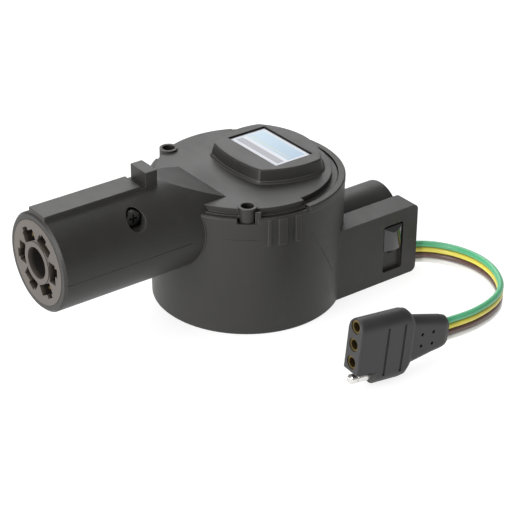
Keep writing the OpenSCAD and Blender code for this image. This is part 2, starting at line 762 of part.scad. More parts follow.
module flat_plug_pin() {
    color(silver)
    in_flat_frame() {
        rod_x(flat_cut_x - 6, flat_cut_x + 1.5, pin_r, 0, -1.5 * contact_pitch);
        // waist, then the bullet tip
        rod_x(flat_cut_x - 7, flat_cut_x - 6, 1.6, 0, -1.5 * contact_pitch);
        translate([flat_cut_x - 9.6, 0, -1.5 * contact_pitch]) rotate([0, 90, 0]) {
            cylinder(h = 0.8, r1 = 1.2, r2 = pin_r);
            translate([0, 0, 0.8]) cylinder(h = 1.9, r = pin_r);
        }
    }
}

module flat_plug_crimps() {
    color(silver)
    in_flat_frame() for (k = [-1.5, -0.5, 0.5, 1.5])
        rod_x(11.3, 20.9, crimp_r, 0, k * contact_pitch);
}

// ---- round outlet ----

module outlet_insert() {
    color(soft_black)
    difference() {
        rod_x(outlet_x - 25.8, outlet_face_x - 0.1, outlet_in_r - 0.3, 0, outlet_z);
        // groove for the seal
        translate([outlet_face_x - 6, 0, outlet_z]) rotate([0, 90, 0]) difference() {
            cylinder(h = 1.6, r = outlet_in_r + 1);
            translate([0, 0, -1]) cylinder(h = 4, r = outlet_in_r - 1.6);
        }
        for (a = [45:90:315]) translate([0, 0, outlet_z]) rotate([a, 0, 0])
            rod_x(outlet_x - 27, outlet_face_x + 1, 1.9, 0, 6.4);
    }
}

module outlet_contacts() {
    color(brass)
    for (a = [45:90:315]) translate([0, 0, outlet_z]) rotate([a, 0, 0]) difference() {
        rod_x(outlet_x - 29, outlet_face_x - 0.1, 1.9, 0, 6.4);
        rod_x(outlet_face_x - 9, outlet_face_x + 1, 1.2, 0, 6.4);
    }
}

module outlet_o_ring() {
    color([0.25, 0.10, 0.08])
    translate([outlet_face_x - 5.9, 0, outlet_z]) rotate([0, 90, 0]) difference() {
        cylinder(h = 1.4, r = outlet_in_r - 0.25);
        translate([0, 0, -1]) cylinder(h = 4, r = outlet_in_r - 1.6);
    }
}

main_housing();
top_cover();
cover_gasket();
cover_screws();
label_plate();
plug_insert();
plug_blades();
plug_centre_contact();
insert_screw();
plug_seal_ring();
main_board();
board_screws();
heat_sink();
power_transistors();
filter_capacitors();
control_chip();
motion_sensor();
relay_module();
current_shunt();
plug_terminal_block();
lead_terminal_block();
plug_harness_upper();
plug_harness_lower();
outlet_harness();
mode_slider();
slider_carrier();
contact_bridge();
switch_base();
switch_contacts();
detent_spring();
lead_grommet();
lead_inner_run();
flat_lead();
flat_plug_body();
flat_plug_sleeves();
flat_plug_pin();
flat_plug_crimps();
outlet_insert();
outlet_contacts();
outlet_o_ring();
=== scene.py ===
"""The looks of a brake controller unit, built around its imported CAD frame.

Everything is in the frame of the CAD: the drum's base centre is the origin, +X runs from the barrel plug to
the round outlet and +Z is up. Dimensions are named in millimetres, and MM turns them into metres."""

import math  # noqa: E402

import bmesh  # noqa: E402
import bpy  # noqa: E402
import numpy as np  # noqa: E402
from mathutils import Matrix, Vector  # noqa: E402


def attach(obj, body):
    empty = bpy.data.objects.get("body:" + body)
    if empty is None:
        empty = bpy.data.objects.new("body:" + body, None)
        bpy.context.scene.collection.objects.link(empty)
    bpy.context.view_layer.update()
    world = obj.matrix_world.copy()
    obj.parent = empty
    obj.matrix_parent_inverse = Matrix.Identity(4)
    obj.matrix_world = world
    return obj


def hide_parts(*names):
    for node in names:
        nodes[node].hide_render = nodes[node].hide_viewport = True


MM = 0.001
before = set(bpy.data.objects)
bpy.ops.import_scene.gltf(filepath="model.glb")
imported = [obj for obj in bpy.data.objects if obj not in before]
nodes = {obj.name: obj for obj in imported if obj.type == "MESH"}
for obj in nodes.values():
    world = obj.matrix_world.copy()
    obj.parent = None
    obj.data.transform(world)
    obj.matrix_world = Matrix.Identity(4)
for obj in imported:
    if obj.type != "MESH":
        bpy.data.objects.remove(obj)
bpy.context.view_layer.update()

# ---- driving dimensions, in millimetres, as the CAD has them ----

BARREL_R, BARREL_Z, BARREL_X = 20.6, 45.3, -101.5
DRUM_BASE_R, DRUM_RIM_R, RIM_Z = 40.5, 41.3, 54.1
COVER_Z, BOSS_FOOT = 57.3, 1.25
SADDLE_R = 0.4
LABEL_CENTRE, LABEL_SIZE = (13.2, 1.2), (18.6, 32.6)
WIRE_R = 1.3
PITCH = 7.9
CONNECTOR_AT, CONNECTOR_TURN = (-16, -90.4, 17.2), (1, 5, -4)
TAIL_X, CUT_X = 45.5, 9.5
SOCKET_R, SOCKET_DEPTH = 2.8, 11
GROOVES_X = (13.1, 21.2)

# The flat lead's centre line, from the lead housing to inside the connector's tail
LEAD_ROUTE = [
    (68, -28.4, 6.4), (70, -28.5, 6.4), (72.5, -29.6, 6.4), (75.5, -32, 6.4),
    (78.5, -35.4, 6.4), (81, -39.4, 6.4), (82.8, -43.8, 6.5), (83.9, -48.6, 6.7),
    (84.2, -53.6, 7), (83.6, -59, 7.4), (82.2, -64.4, 7.9), (79.8, -70, 8.5),
    (76.4, -75.8, 9.2), (72, -81.4, 9.9), (67, -85.8, 10.6), (61.4, -89.2, 11.3),
    (55.6, -91.6, 11.9), (49.8, -93.2, 12.4), (44, -94.2, 12.8), (38.4, -94.4, 13.1),
    (33.6, -94, 13.2), (29.2, -93.56, 13.23), (23, -93.14, 13.78),
]


# ---- camera ----

def place_camera():
    """A long lens, turned by azimuth, elevation and a slight roll about its own axis."""
    azimuth, elevation, roll = math.radians(-37.09), math.radians(29.13), math.radians(0.35)
    level = math.cos(elevation)
    back = Vector((math.sin(azimuth) * level, -math.cos(azimuth) * level, math.sin(elevation)))
    right = Vector((math.cos(azimuth), math.sin(azimuth), 0))
    up = back.cross(right)
    x = math.cos(roll) * right + math.sin(roll) * up
    y = math.cos(roll) * up - math.sin(roll) * right
    data = bpy.data.cameras.new("camera")
    data.lens, data.sensor_width = 126.47, 36
    data.clip_start, data.clip_end = 0.05, 20
    camera = bpy.data.objects.new("camera", data)
    turn = Matrix((x, y, back)).transposed().to_4x4()
    camera.matrix_world = Matrix.Translation(Vector((-402.3, -539.1, 389.6)) * MM) @ turn
    bpy.context.scene.collection.objects.link(camera)
    bpy.context.scene.camera = camera


place_camera()


# ---- surfaces ----

def mesh_piece(name, points, faces, body="unit", smooth=True):
    """A mesh object at the origin from arrays of points (in mm) and faces, riding on a CAD body."""
    mesh = bpy.data.meshes.new(name)
    faces = faces if isinstance(faces, list) else faces.tolist()
    mesh.from_pydata((np.asarray(points, float) * MM).tolist(), [], faces)
    mesh.validate()
    mesh.shade_smooth() if smooth else mesh.shade_flat()
    piece = bpy.data.objects.new(name, mesh)
    bpy.context.scene.collection.objects.link(piece)
    if body:
        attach(piece, body)
    return piece


def outward(piece):
    """Turns every face of a closed mesh outwards."""
    shape = bmesh.new()
    shape.from_mesh(piece.data)
    bmesh.ops.recalc_face_normals(shape, faces=shape.faces)
    shape.to_mesh(piece.data)
    shape.free()


def grid_faces(rows, columns, ring=False):
    """Quads between neighbouring points of a grid, closed round its columns, and over its rows if ring is
    set."""
    i, j = np.meshgrid(np.arange(rows if ring else rows - 1), np.arange(columns), indexing="ij")
    below, beside = (i + 1) % rows * columns, (j + 1) % columns
    return np.stack([i * columns + j, i * columns + beside, below + beside, below + j], -1).reshape(-1, 4)


def capped_grid(points):
    """Points of shape (rows, columns, 3), closed round the columns, with a flat cap on its first and last
    row."""
    rows, columns = points.shape[:2]
    sides = grid_faces(rows, columns).tolist()
    caps = [list(range(columns))[::-1], [(rows - 1) * columns + j for j in range(columns)]]
    return points.reshape(-1, 3), sides + caps


def smooth_route(points, per_span):
    """A curve through every point: each span is a cubic whose end slopes come from the points beside it."""
    p = np.asarray(points, float)
    before, after = 2 * p[0] - p[1], 2 * p[-1] - p[-2]
    p = np.vstack([before, p, after])
    t = np.linspace(0, 1, per_span, endpoint=False)[:, None]
    a, b, c, d = p[:-3, None], p[1:-2, None], p[2:-1, None], p[3:, None]
    spans = 0.5 * (2 * b + (c - a) * t + (2 * a - 5 * b + 4 * c - d) * t**2 + (3 * b - a - 3 * c + d) * t**3)
    return np.vstack([spans.reshape(-1, 3), p[-2]])


def frames_along(route):
    """Unit heading, level side and up vectors at each point of a route that stays near level."""
    heading = np.gradient(route, axis=0)
    heading /= np.linalg.norm(heading, axis=1)[:, None]
    side = np.cross(heading, (0, 0, 1.0))
    side /= np.linalg.norm(side, axis=1)[:, None]
    return heading, side, np.cross(side, heading)


def turned(points, turns, place):
    """Points turned about X, then Y, then Z by degrees, and then moved."""
    ax, ay, az = (math.radians(t) for t in turns)
    turn = Matrix.Rotation(az, 3, "Z") @ Matrix.Rotation(ay, 3, "Y") @ Matrix.Rotation(ax, 3, "X")
    return np.asarray(points, float) @ np.array(turn).T + np.asarray(place, float)


# ---- shader maths ----

class Value:
    """One output socket in a material. Arithmetic on values adds Math nodes."""

    def __init__(self, finish, socket):
        self.finish, self.socket = finish, socket

    def math(self, operation, *others, clamp=False):
        settings = {"operation": operation, "use_clamp": clamp}
        return self.finish.node("ShaderNodeMath", settings, dict(enumerate((self, *others))))

    def __add__(self, other):
        return self.math("ADD", other)

    def __sub__(self, other):
        return self.math("SUBTRACT", other)

    def __rsub__(self, other):
        return self.finish.node("ShaderNodeMath", {"operation": "SUBTRACT"}, {0: other, 1: self})

    def __mul__(self, other):
        return self.math("MULTIPLY", other)

    __radd__, __rmul__ = __add__, __mul__

    def clamp(self):
        return self.math("ADD", 0.0, clamp=True)

    def within(self, low, high, soft):
        """1 between low and high, falling to 0 over soft on each side."""
        rise = ((self - (low - soft)) * (1 / soft)).clamp()
        return rise * (((high + soft) - self) * (1 / soft)).clamp()

    def near(self, middle, width):
        """1 at middle, falling to 0 at width on each side."""
        return (1 - (self - middle).math("ABSOLUTE") * (1 / width)).clamp()


class Finish:
    """A material under construction."""

    def __init__(self, name, **shader):
        self.material = bpy.data.materials.new(name)
        self.material.use_nodes = True
        self.tree = self.material.node_tree
        self.tree.nodes.clear()
        self.shader = self.tree.nodes.new("ShaderNodeBsdfPrincipled")
        output = self.tree.nodes.new("ShaderNodeOutputMaterial")
        self.tree.links.new(self.shader.outputs[0], output.inputs[0])
        self.set(self.shader, {key.replace("_", " "): value for key, value in shader.items()})

    def set(self, node, sockets):
        for key, value in sockets.items():
            if isinstance(value, Value):
                self.tree.links.new(value.socket, node.inputs[key])
            else:
                node.inputs[key].default_value = value

    def node(self, kind, settings=None, sockets=None, output=0):
        """A node of that kind: its settings are set first, then its sockets' values or links. Gives one
        output."""
        node = self.tree.nodes.new(kind)
        for key, value in (settings or {}).items():
            if key == "stops":
                ramp = node.color_ramp
                while len(ramp.elements) < len(value):
                    ramp.elements.new(0.5)
                for element, (place, colour) in zip(ramp.elements, value):
                    element.position, element.color = place, colour
            elif key == "interpolation":
                node.color_ramp.interpolation = value
            else:
                setattr(node, key, value)
        self.set(node, sockets or {})
        return Value(self, node.outputs[output])

    def place(self):
        return self.node("ShaderNodeTexCoord", output="Object")

    def parts_of(self, vector):
        node = self.tree.nodes.new("ShaderNodeSeparateXYZ")
        self.tree.links.new(vector.socket, node.inputs[0])
        return [Value(self, node.outputs[i]) for i in range(3)]

    def stretched(self, vector, scale):
        return self.node("ShaderNodeVectorMath", {"operation": "MULTIPLY"}, {0: vector, 1: scale})

    def noise(self, vector, scale, detail=3.0, roughness=0.55):
        sockets = {"Vector": vector, "Scale": scale, "Detail": detail, "Roughness": roughness}
        return self.node("ShaderNodeTexNoise", {}, sockets, "Fac")

    def cells(self, vector, scale):
        return self.node("ShaderNodeTexVoronoi", {}, {"Vector": vector, "Scale": scale}, "Distance")

    def mix(self, share, first, second):
        return self.node("ShaderNodeMix", {"data_type": "RGBA"}, {0: share, 6: first, 7: second}, 2)

    def rounded_normal(self, radius_mm, samples=4):
        return self.node("ShaderNodeBevel", {"samples": samples}, {"Radius": radius_mm * MM})

    def edges(self, radius_mm, samples=4):
        """0 on open surfaces and up to 1 along edges, from how far the rounded normal leans off the true
        one."""
        rounded = self.rounded_normal(radius_mm, samples)
        true = self.node("ShaderNodeNewGeometry", output="True Normal")
        lean = self.node("ShaderNodeVectorMath", {"operation": "DOT_PRODUCT"}, {0: rounded, 1: true}, 1)
        return ((1 - lean) * 3.2).clamp()

    def bump(self, height, distance_mm, strength=1.0, under=None):
        sockets = {"Height": height, "Distance": distance_mm * MM, "Strength": strength}
        if under is not None:
            sockets["Normal"] = under
        return self.node("ShaderNodeBump", {}, sockets)

    def done(self, **surface):
        self.set(self.shader, {key.replace("_", " "): value for key, value in surface.items()})
        return self.material


def shade(tone, by=1.0):
    return (tone[0] * by, tone[1] * by, tone[2] * by, 1.0)


# ---- finishes ----

def moulded_plastic(name, tone, roughness=0.45, grain=1.0, edge_highlight=0.5, round_mm=0.45, sunk_painted_shade=None):
    """Spark-eroded plastic: a fine pebbled skin, faint cloudy flow in the tone, edges that are rubbed
    glossier and lighter (the lightening partly wear, partly a painted highlight) and a few handling smears in
    the gloss.
    Where the marks function gives 1, the skin is sunk and carries painted shade."""
    finish = Finish(name, IOR=1.49, Specular_IOR_Level=0.36)
    at = finish.place()
    pebble = finish.cells(at, 2300)
    skin = finish.noise(at, 3800, 2.0)
    cloud = finish.noise(finish.stretched(at, (1, 1, 0.45)), 46, 4.0)
    smear = finish.noise(finish.stretched(at, (1.0, 0.35, 1.4)), 120, 5.0, 0.65)
    edge = finish.edges(round_mm)
    # Edge mask: rubbed wear lowers the roughness there, and the same mask lightens the colour as a painted
    # highlight.
    wear_and_highlight = (edge * (0.55 + 0.9 * finish.noise(at, 420, 3.0))).clamp()
    base = finish.mix(cloud, shade(tone, 0.78), shade(tone, 1.28))
    base = finish.mix(((smear - 0.58) * 4).clamp() * 0.35, base, shade(tone, 1.9))
    # Painted highlight: edges lightened toward a warm grey.
    base = finish.mix(wear_and_highlight * edge_highlight, base, (0.17, 0.155, 0.14, 1))
    height = (0.7 * pebble + 0.5 * skin) * grain
    # Sunk lines or hollows: the skin is sunk there and its colour darkened as painted shade.
    if sunk_painted_shade:
        dark = sunk_painted_shade(finish, at)
        height = height - 6 * dark
        base = finish.mix(dark * 0.85, base, shade(tone, 0.15))
    return finish.done(
        Base_Color=base,
        Roughness=roughness + 0.16 * (cloud - 0.5) + 0.14 * ((smear - 0.5) * 2).clamp() - 0.12 * wear_and_highlight,
        Normal=finish.bump(height, 0.05, 0.55, finish.rounded_normal(round_mm)),
    )


def mould_lines_painted_shade(finish, at):
    """Lines left by the mould, sunk and darkened with painted shade in their grooves: along the barrel's
    side, across the drum's front, and one slanted beside the ribs."""
    x, y, z = finish.parts_of(at)
    angle = y.math("ARCTAN2", x) * (180 / math.pi)
    radius = (x * x + y * y).math("SQRT")
    on_drum = radius.within(39.8 * MM, 43 * MM, 0.2 * MM)
    beside_barrel = x.within(-101 * MM, -42.5 * MM, 1 * MM) * (0 - y).within(20 * MM, 21 * MM, 0.3 * MM)
    along_barrel = z.near(43.6 * MM, 0.22 * MM) * (1 - on_drum) * beside_barrel
    across = z.near(44.8 * MM, 0.28 * MM) * angle.within(-141, -121, 2) * on_drum * 0.7
    run = (angle + 88.6) * (1 / 22.4)
    line_z = 45.3 * MM - run * (24.9 * MM)
    slanted = (z - line_z).near(0, 0.5 * MM) * run.within(0.0, 1.0, 0.04) * on_drum
    return (along_barrel + across + slanted).clamp()


def painted_shade_in_slots(finish, at):
    """Painted shade below the insert's face, inside its slots and centre hole."""
    x, _, _ = finish.parts_of(at)
    # Darker with depth behind the face: painted shade in the slots.
    return ((x - (BARREL_X + 0.6) * MM) * (1 / (1.6 * MM))).clamp()


def brass(name, tone=(0.78, 0.56, 0.22), tarnish_share=1.4, roughness=0.24):
    """Stamped brass: rolling lines, and darker tarnish in patches."""
    finish = Finish(name)
    at = finish.place()
    lines = finish.noise(finish.stretched(at, (60, 900, 900)), 1, 3.0)
    tarnish = finish.noise(at, 260, 4.0)
    return finish.done(
        Base_Color=finish.mix((tarnish * tarnish_share - 0.35).clamp(), shade(tone), shade(tone, 0.45)),
        Metallic=1.0,
        Roughness=roughness + 0.3 * tarnish,
        Normal=finish.bump(lines, 0.02, 0.3, finish.rounded_normal(0.2)),
    )


def plated_steel(name, tone=(0.62, 0.62, 0.63), roughness=0.28, turned_about=None):
    """Plated steel: turning rings round X where it is a turned pin, otherwise a faint brushed grain."""
    finish = Finish(name)
    at = finish.place()
    scale = (2600, 60, 60) if turned_about == "x" else (500, 500, 60)
    lines = finish.noise(finish.stretched(at, scale), 1, 2.0)
    spots = finish.noise(at, 700, 3.0)
    return finish.done(
        Base_Color=finish.mix(spots, shade(tone, 0.8), shade(tone, 1.1)),
        Metallic=1.0,
        Roughness=roughness + 0.25 * (spots - 0.5) + 0.1 * lines,
        Normal=finish.bump(lines, 0.015, 0.4, finish.rounded_normal(0.25)),
    )


def rubber(name, tone, roughness=0.62, grain=1.0, round_mm=0.5):
    """Overmoulded soft plastic: a fine dry skin, chalky where it has been handled, and edges lightened partly
    by rubbed wear and partly as a painted highlight.
    """
    finish = Finish(name, IOR=1.5)
    at = finish.place()
    skin = finish.noise(at, 3000, 3.0)
    patches = finish.noise(at, 90, 4.0)
    edge = finish.edges(round_mm)
    handled = finish.mix(patches, shade(tone, 0.75), shade(tone, 1.35))
    return finish.done(
        # Edges lightened: a painted highlight, partly rubbed wear.
        Base_Color=finish.mix(edge * 0.4, handled, shade(tone, 3.2)),
        Roughness=roughness + 0.2 * (patches - 0.5),
        Normal=finish.bump(skin * grain, 0.05, 0.6, finish.rounded_normal(round_mm)),
    )


def glossy_plastic(name, tone, roughness=0.1, round_mm=0.4):
    """Polished plastic with hairline wipe marks and a clear, slightly rippled skin."""
    finish = Finish(name, IOR=1.52, Coat_Roughness=0.14)
    at = finish.place()
    ripple = finish.noise(at, 160, 2.0)
    wipes = finish.noise(finish.stretched(at, (2400, 2400, 120)), 1, 2.0)
    return finish.done(
        Base_Color=finish.mix(ripple, shade(tone, 0.8), shade(tone, 1.25)),
        Roughness=roughness + 0.12 * (wipes - 0.4).clamp(),
        Coat_Weight=0.6,
        Normal=finish.bump(ripple, 0.05, 0.15, finish.rounded_normal(round_mm)),
    )


def printed_label():
    """A plain printed plate: a pale border, a blue panel that fades along it, a fine yellow rule and a dark
    band, with a painted shadow along its very rim where the pocket's wall shades it."""
    finish = Finish("printed_label", IOR=1.5, Coat_Roughness=0.12)
    at = finish.place()
    x, y, _ = finish.parts_of(at)
    u = (x - (LABEL_CENTRE[0] - LABEL_SIZE[0] / 2) * MM) * (1 / (LABEL_SIZE[0] * MM))
    v = (y - (LABEL_CENTRE[1] - LABEL_SIZE[1] / 2) * MM) * (1 / (LABEL_SIZE[1] * MM))
    speck = finish.noise(at, 1500, 2.0)
    fade = finish.mix(v.clamp(), (0.11, 0.24, 0.38, 1), (0.24, 0.38, 0.48, 1))
    panel = u.within(0.42, 0.90, 0.01) * v.within(0.06, 0.94, 0.006)
    rule = u.near(0.50, 0.025) * v.within(0.10, 0.90, 0.006)
    band = u.within(0.12, 0.30, 0.01) * v.within(0.06, 0.94, 0.006)
    base = finish.mix(panel, (0.40, 0.43, 0.48, 1), fade)
    base = finish.mix(band * 0.9, base, (0.045, 0.055, 0.09, 1))
    base = finish.mix(rule * 0.8, base, (0.42, 0.40, 0.12, 1))
    base = finish.mix(speck * 0.12, base, (0.34, 0.37, 0.40, 1))
    # Painted shadow: a near-black rim where the pocket's wall shades the plate.
    painted_rim_shadow = (1 - u.within(0.025, 0.975, 0.008) * v.within(0.014, 0.986, 0.005)).clamp()
    base = finish.mix(painted_rim_shadow * 0.85, base, (0.04, 0.04, 0.045, 1))
    return finish.done(
        Base_Color=base,
        Roughness=0.26 + 0.12 * speck,
        Coat_Weight=0.4,
        Normal=finish.bump(speck, 0.01, 0.2, finish.rounded_normal(0.3)),
    )


def bonded_wires():
    """Four insulation colours across the flat lead, from each wire's number, with drawn lines and painted
    shade where neighbouring wires meet."""
    finish = Finish("bonded_wires", IOR=1.5, Coat_Roughness=0.2)
    at = finish.place()
    number = finish.node("ShaderNodeAttribute", {"attribute_name": "wire_number"}, {}, "Fac")
    valley = finish.node("ShaderNodeAttribute", {"attribute_name": "valley"}, {}, "Fac")
    drawn = finish.noise(at, 900, 3.0)
    tone = finish.node(
        "ShaderNodeValToRGB",
        {"interpolation": "CONSTANT", "stops": [
            (0.0, (0.80, 0.79, 0.74, 1)), (0.25, (0.075, 0.018, 0.012, 1)),
            (0.5, (0.76, 0.66, 0.050, 1)), (0.75, (0.045, 0.42, 0.18, 1)),
        ]},
        {"Fac": number},
    )
    dusty = finish.mix(drawn * 0.18, tone, (0.45, 0.42, 0.38, 1))
    # Painted shade in the creases where neighbouring wires meet.
    base = finish.mix(valley * 0.55, dusty, (0.03, 0.025, 0.02, 1))
    return finish.done(
        Base_Color=base,
        Roughness=0.33 + 0.2 * drawn,
        Coat_Weight=0.25,
        Normal=finish.bump(drawn, 0.03, 0.35),
    )


def board_laminate():
    """Green solder mask over straight copper runs, with bare pads between them."""
    finish = Finish("board_laminate", IOR=1.5)
    at = finish.place()
    x, y, _ = finish.parts_of(at)
    runs = ((x * 700).math("SINE") * (y * 300 + 1.2).math("SINE")).within(0.35, 1.0, 0.05)
    weave = finish.cells(finish.stretched(at, (1, 1, 0.2)), 900)
    mask = finish.mix(weave, (0.012, 0.10, 0.045, 1), (0.02, 0.15, 0.07, 1))
    return finish.done(
        Base_Color=finish.mix(runs * 0.6, mask, (0.05, 0.26, 0.12, 1)),
        Roughness=0.35 + 0.15 * weave,
        Normal=finish.bump(runs, 0.04, 0.5, finish.rounded_normal(0.2)),
    )


def wire_insulation(name, tone):
    """Insulation with drawn lines and slight scuffs."""
    finish = Finish(name, IOR=1.5)
    at = finish.place()
    drawn = finish.noise(at, 800, 3.0)
    return finish.done(
        Base_Color=finish.mix(drawn, shade(tone, 0.7), shade(tone, 1.2)),
        Roughness=0.4 + 0.2 * drawn,
        Normal=finish.bump(drawn, 0.03, 0.3),
    )


# The housing's sunk lines carry painted shade.
housing_finish = moulded_plastic("housing_plastic", (0.023, 0.0222, 0.021), 0.45, sunk_painted_shade=mould_lines_painted_shade)
cover_finish = moulded_plastic("cover_plastic", (0.022, 0.0208, 0.020), 0.44)
# The insert gets painted shade inside its slots and centre hole.
insert_finish = moulded_plastic(
    "insert_plastic", (0.088, 0.076, 0.066), 0.48,
    grain=0.6, edge_highlight=0.3, round_mm=0.3, sunk_painted_shade=painted_shade_in_slots,
)
connector_finish = rubber("connector_rubber", (0.022, 0.022, 0.022), 0.5)
seal_finish = rubber("seal_rubber", (0.022, 0.022, 0.022), 0.7)
silicone_finish = rubber("silicone_rubber", (0.22, 0.05, 0.04), 0.5)
brass_finish = brass("contact_brass")
sleeve_finish = brass("tarnished_brass", (0.23, 0.17, 0.07), 1.6, 0.4)
shunt_finish = brass("shunt_alloy", (0.55, 0.42, 0.30))
screw_finish = plated_steel("screw_black_oxide", (0.045, 0.044, 0.043), 0.42)
spring_finish = plated_steel("spring_steel", (0.55, 0.55, 0.56), 0.3)
pin_finish = plated_steel("pin_nickel", (0.80, 0.79, 0.76), 0.2, "x")
crimp_finish = plated_steel("crimp_tin", (0.66, 0.66, 0.67), 0.35)
sink_finish = plated_steel("sink_aluminium", (0.58, 0.59, 0.60), 0.42)
slider_finish = glossy_plastic("slider_gloss", (0.010, 0.010, 0.011), 0.2)
capacitor_finish = glossy_plastic("capacitor_sleeve", (0.03, 0.04, 0.11), 0.25)
relay_finish = glossy_plastic("relay_plastic", (0.04, 0.09, 0.26), 0.3)
chip_finish = moulded_plastic("chip_epoxy", (0.03, 0.03, 0.032), 0.6, round_mm=0.2)
nylon_finish = moulded_plastic("switch_nylon", (0.60, 0.58, 0.52), 0.45, edge_highlight=0.0, round_mm=0.25)
terminal_finish = moulded_plastic("terminal_plastic", (0.05, 0.20, 0.09), edge_highlight=0.15, round_mm=0.25)

node_finishes = {
    "main_housing": housing_finish,
    "top_cover": cover_finish,
    "cover_gasket": seal_finish,
    "cover_screws": screw_finish,
    "label_plate": printed_label(),
    "plug_insert": insert_finish,
    "plug_blades": brass_finish,
    "plug_centre_contact": brass_finish,
    "insert_screw": screw_finish,
    "plug_seal_ring": seal_finish,
    "main_board": board_laminate(),
    "board_screws": screw_finish,
    "heat_sink": sink_finish,
    "power_transistors": chip_finish,
    "filter_capacitors": capacitor_finish,
    "control_chip": chip_finish,
    "motion_sensor": chip_finish,
    "relay_module": relay_finish,
    "current_shunt": shunt_finish,
    "plug_terminal_block": terminal_finish,
    "lead_terminal_block": terminal_finish,
    "plug_harness_upper": wire_insulation("wire_red", (0.42, 0.03, 0.025)),
    "plug_harness_lower": wire_insulation("wire_blue", (0.03, 0.09, 0.36)),
    "outlet_harness": wire_insulation("wire_orange", (0.62, 0.22, 0.03)),
    "mode_slider": slider_finish,
    "slider_carrier": nylon_finish,
    "contact_bridge": brass_finish,
    "switch_base": nylon_finish,
    "switch_contacts": brass_finish,
    "detent_spring": spring_finish,
    "lead_grommet": seal_finish,
    "lead_inner_run": wire_insulation("wire_green", (0.03, 0.36, 0.17)),
    "flat_plug_sleeves": sleeve_finish,
    "flat_plug_pin": pin_finish,
    "flat_plug_crimps": crimp_finish,
    "outlet_insert": insert_finish,
    "outlet_contacts": brass_finish,
    "outlet_o_ring": silicone_finish,
}
for node_name, finish_material in node_finishes.items():
    nodes[node_name].data.materials.clear()
    nodes[node_name].data.materials.append(finish_material)


# ---- the flat lead ----

def flat_lead_piece():
    """Four round wires bonded on edge: each is a circle carried along the smoothed route, a wire's width
    above the last. A point's valley value is 1 where its wire meets its neighbour, and paints shade there."""
    route = smooth_route(LEAD_ROUTE, 8)
    _, side, up = frames_along(route)
    turn = np.linspace(0, 2 * math.pi, 20, endpoint=False)
    radius = WIRE_R * 1.03
    points, faces, number, valley = [], [], [], []
    for wire in range(4):
        middle = route + up * ((wire - 1.5) * 2 * WIRE_R)
        across, above = np.cos(turn)[None, :, None] * side[:, None], np.sin(turn)[None, :, None] * up[:, None]
        ring_points, ring_faces = capped_grid(middle[:, None] + radius * (across + above))
        start = sum(len(p) for p in points)
        points.append(ring_points)
        faces += [[start + k for k in face] for face in ring_faces]
        number.append(np.full(len(ring_points), (wire + 0.5) / 4))
        meets_above = (np.sin(turn) > 0) & (wire < 3)
        meets_below = (np.sin(turn) < 0) & (wire > 0)
        # Mask for the painted shade where this wire meets its neighbour.
        depth = np.clip((np.abs(np.sin(turn)) - 0.72) / 0.25, 0, 1) * (meets_above | meets_below)
        valley.append(np.tile(depth, len(route)))
    piece = mesh_piece("four_bonded_wires", np.vstack(points), faces)
    for attribute_name, values in (("wire_number", number), ("valley", valley)):
        attribute = piece.data.attributes.new(attribute_name, "FLOAT", "POINT")
        attribute.data.foreach_set("value", np.concatenate(values).astype(np.float32))
    outward(piece)
    piece.data.materials.append(bonded_wires())
    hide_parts("flat_lead")
    return piece, route


flat_lead, lead_line = flat_lead_piece()


# ---- the flat connector ----

def connector_half_widths(x):
    """How far the connector reaches above and below its middle at each distance from the mating face: full
    width, then a rounded rear corner, and a tail that narrows in two straight runs."""
    steps = np.array([0, 0.5, 1.4, 21.4, 24.2, 25.8, 26.6, 27.2, 38, 42.2, 44.6, TAIL_X])
    upper = np.array([14.1, 14.8, 15.1, 15.1, 14.4, 12.9, 11.2, 10.9, 8.6, 7.7, 6.9, 5.6])
    lower = np.array([14.1, 14.8, 15.1, 15.1, 14.6, 12.2, 10.7, 10.4, 7.9, 7.2, 6.5, 5.6])
    return np.interp(x, steps, upper), np.interp(x, steps, lower)


def connector_thickness(x):
    """Half thickness: full up to the shoulder, then a step down to the tail, whose last run is bevelled."""
    steps = np.array([0, 0.4, 1.2, 25.2, 26.4, 27.0, 43.5, TAIL_X])
    return np.interp(x, steps, np.array([4.2, 4.6, 4.8, 4.8, 4.5, 3.7, 3.6, 2.7]))


def connector_body_piece():
    """A section carried from the mating face to the tail: a rectangle whose corners are rounded by nearly
    half its thickness, so that both long edges are full round."""
    along = np.concatenate([
        [0, 0.15, 0.5, 0.9, 1.4, 2.4], np.linspace(3.5, 21.4, 20), np.linspace(22, 27.4, 14),
        np.linspace(28, 43, 16), [43.8, 44.6, TAIL_X - 0.4, TAIL_X],
    ])
    upper, lower = connector_half_widths(along)
    thick = connector_thickness(along)
    turn = np.linspace(0, 2 * math.pi, 96, endpoint=False)
    c, s = np.cos(turn), np.sin(turn)
    corner = thick[:, None] * 0.97
    flat_half = np.where(s > 0, upper[:, None] - corner, lower[:, None] - corner)
    share = np.clip(np.abs(s) / 0.55, 0, 1)
    bend = np.clip((np.abs(s) - 0.55) / 0.45, 0, 1) * (math.pi / 2)
    z = np.sign(s) * (share * flat_half + np.sin(bend) * corner)
    y = np.where(c >= 0, 1, -1) * (thick[:, None] - corner + np.cos(bend) * corner)
    points = np.stack([np.broadcast_to(along[:, None], z.shape), y, z], -1)
    flat_points, faces = capped_grid(points[:, ::-1])
    return mesh_piece("flat_connector_body", turned(flat_points, CONNECTOR_TURN, CONNECTOR_AT), faces)


